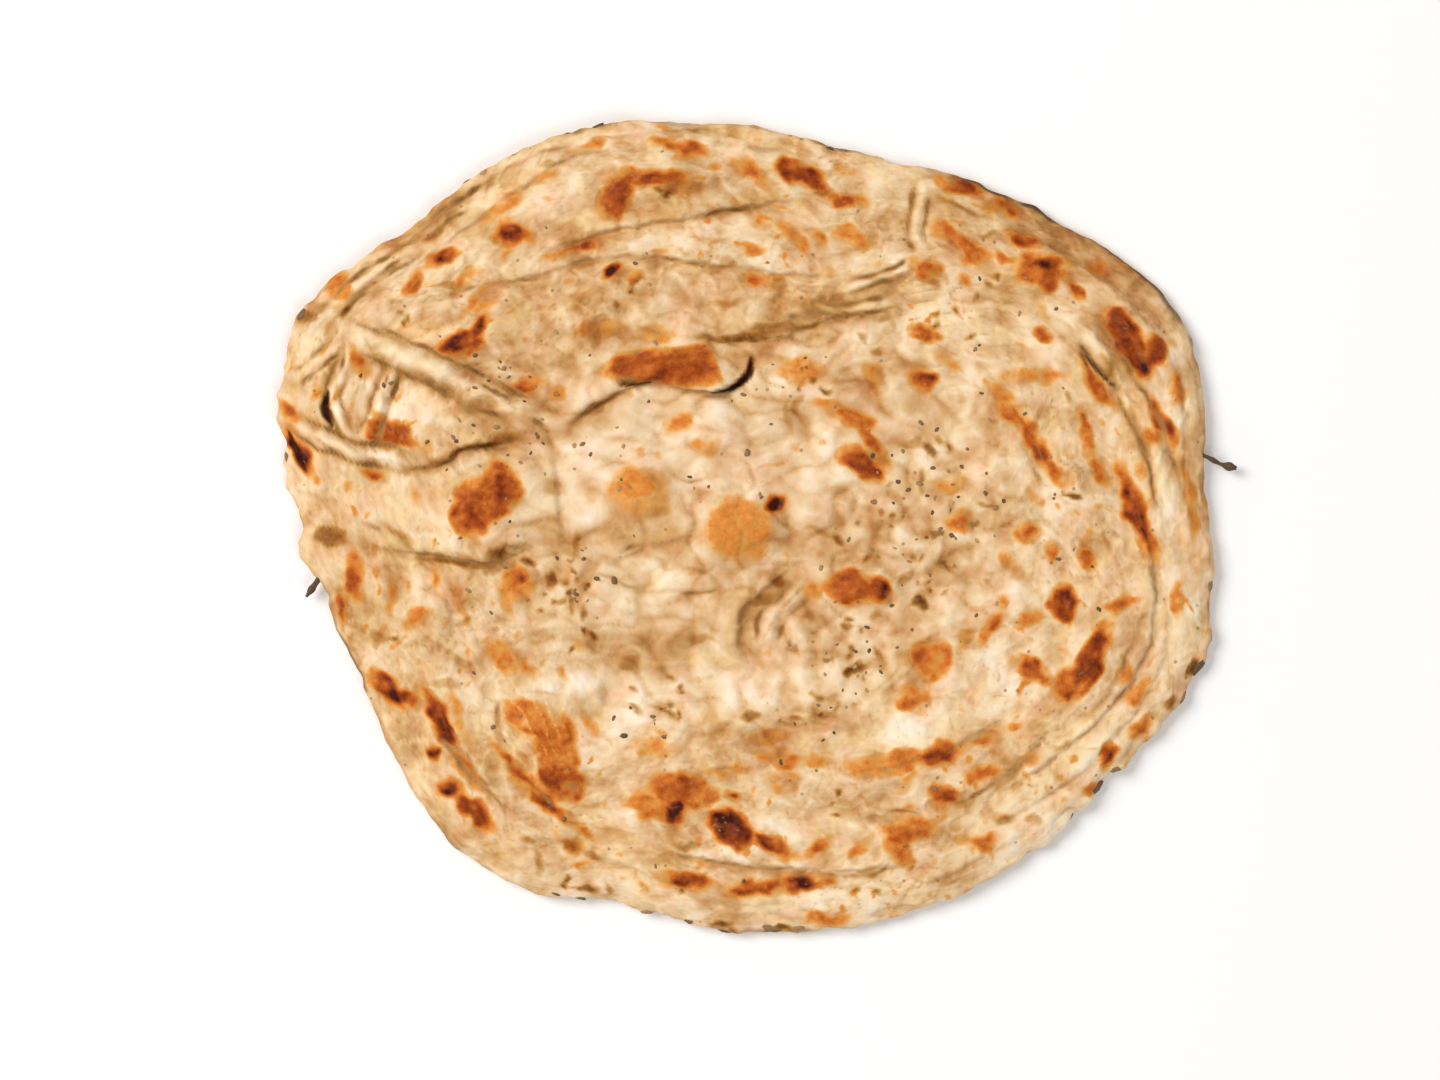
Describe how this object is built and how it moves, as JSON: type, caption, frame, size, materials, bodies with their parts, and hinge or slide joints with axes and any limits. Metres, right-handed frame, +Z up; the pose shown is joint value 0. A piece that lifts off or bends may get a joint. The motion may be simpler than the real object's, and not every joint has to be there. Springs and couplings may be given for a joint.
{
  "type": "malawah flatbread",
  "caption": "Whole round pan-fried flatbread of coiled, folded dough layers, with a ragged rounded rim, browned blisters on its uneven upper face and a flat underside.",
  "frame": {"origin": "on the table under the middle of the bread's box, at the centre of its flat resting face", "axes": "+X along the long side of the outline, +Y across it, +Z up out of the blistered upper face"},
  "size_m": [0.2892, 0.2446, 0.0134],
  "materials": {
    "crust": null
  },
  "bodies": {
    "root": {"bread": "crust"}
  },
  "joints": []
}
